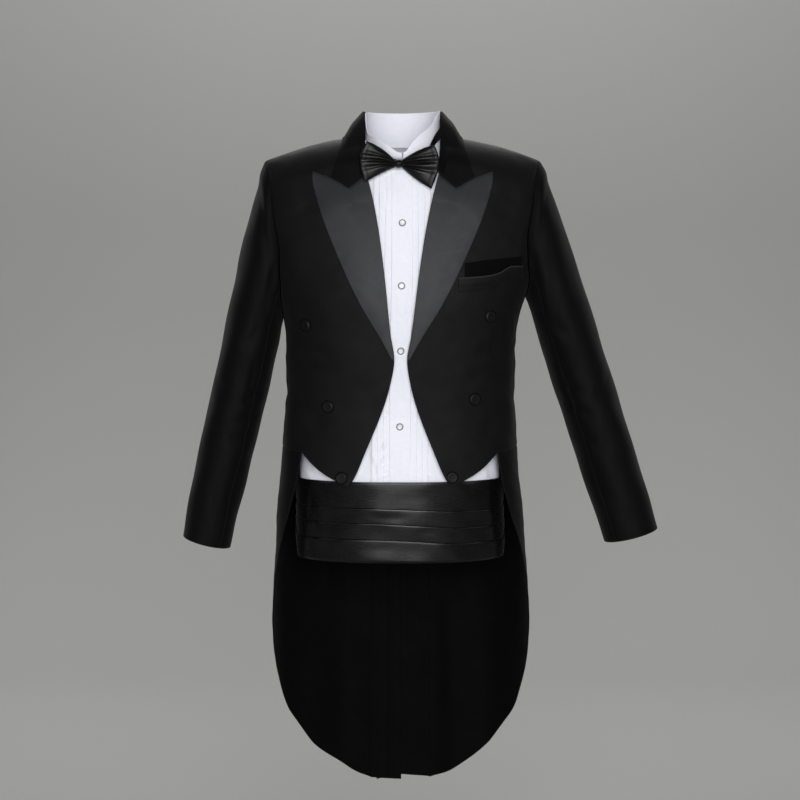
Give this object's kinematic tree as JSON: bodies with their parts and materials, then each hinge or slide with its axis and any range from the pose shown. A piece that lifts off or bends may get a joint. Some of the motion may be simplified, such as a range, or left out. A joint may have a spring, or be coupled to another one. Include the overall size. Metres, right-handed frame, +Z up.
{
  "type": "tailcoat suit",
  "caption": "Formal tailcoat with peaked lapels over a pleated dress shirt, bow tie and pleated cummerbund, hollow and open as worn.",
  "frame": {"origin": "middle of the neck opening, level with the points where neck and shoulder meet: where the wearer's shoulders hold the suit", "axes": "+Z up, -Y the way the suit faces, so the wearer's right is at -X"},
  "size_m": [0.7693, 0.2495, 1.1253],
  "materials": {
    "coat_wool": "matt black worsted wool with a faint sheen",
    "lapel_satin": "dull dark grey-black satin facing",
    "button_covering": "cloth-covered, slightly lustrous",
    "shirt_cotton": "smooth white poplin",
    "shirt_button_resin": "clear pearly resin",
    "black_satin": "glossy black satin"
  },
  "bodies": {
    "root": {"coat_front_right": "coat_wool", "coat_front_left": "coat_wool", "coat_side_right": "coat_wool", "coat_side_left": "coat_wool", "coat_back_right": "coat_wool", "coat_back_left": "coat_wool", "coat_tail_right": "coat_wool", "coat_tail_left": "coat_wool", "coat_sleeve_top_right": "coat_wool", "coat_sleeve_top_left": "coat_wool", "coat_sleeve_under_right": "coat_wool", "coat_sleeve_under_left": "coat_wool", "coat_collar": "coat_wool", "coat_lapel_right": "lapel_satin", "coat_lapel_left": "lapel_satin", "coat_pocket_facing": "coat_wool", "coat_pocket_welt": "coat_wool", "coat_button_right_1": "button_covering", "coat_button_right_2": "button_covering", "coat_button_right_3": "button_covering", "coat_button_left_1": "button_covering", "coat_button_left_2": "button_covering", "coat_button_left_3": "button_covering", "shirt_front_right": "shirt_cotton", "shirt_front_left": "shirt_cotton", "shirt_placket": "shirt_cotton", "shirt_back": "shirt_cotton", "shirt_collar": "shirt_cotton", "shirt_button_1": "shirt_button_resin", "shirt_button_2": "shirt_button_resin", "shirt_button_3": "shirt_button_resin", "shirt_button_4": "shirt_button_resin", "bow_wing_right": "black_satin", "bow_wing_left": "black_satin", "bow_knot": "black_satin", "bow_band": "black_satin", "cummerbund_front": "black_satin", "cummerbund_strap": "black_satin"}
  },
  "joints": []
}
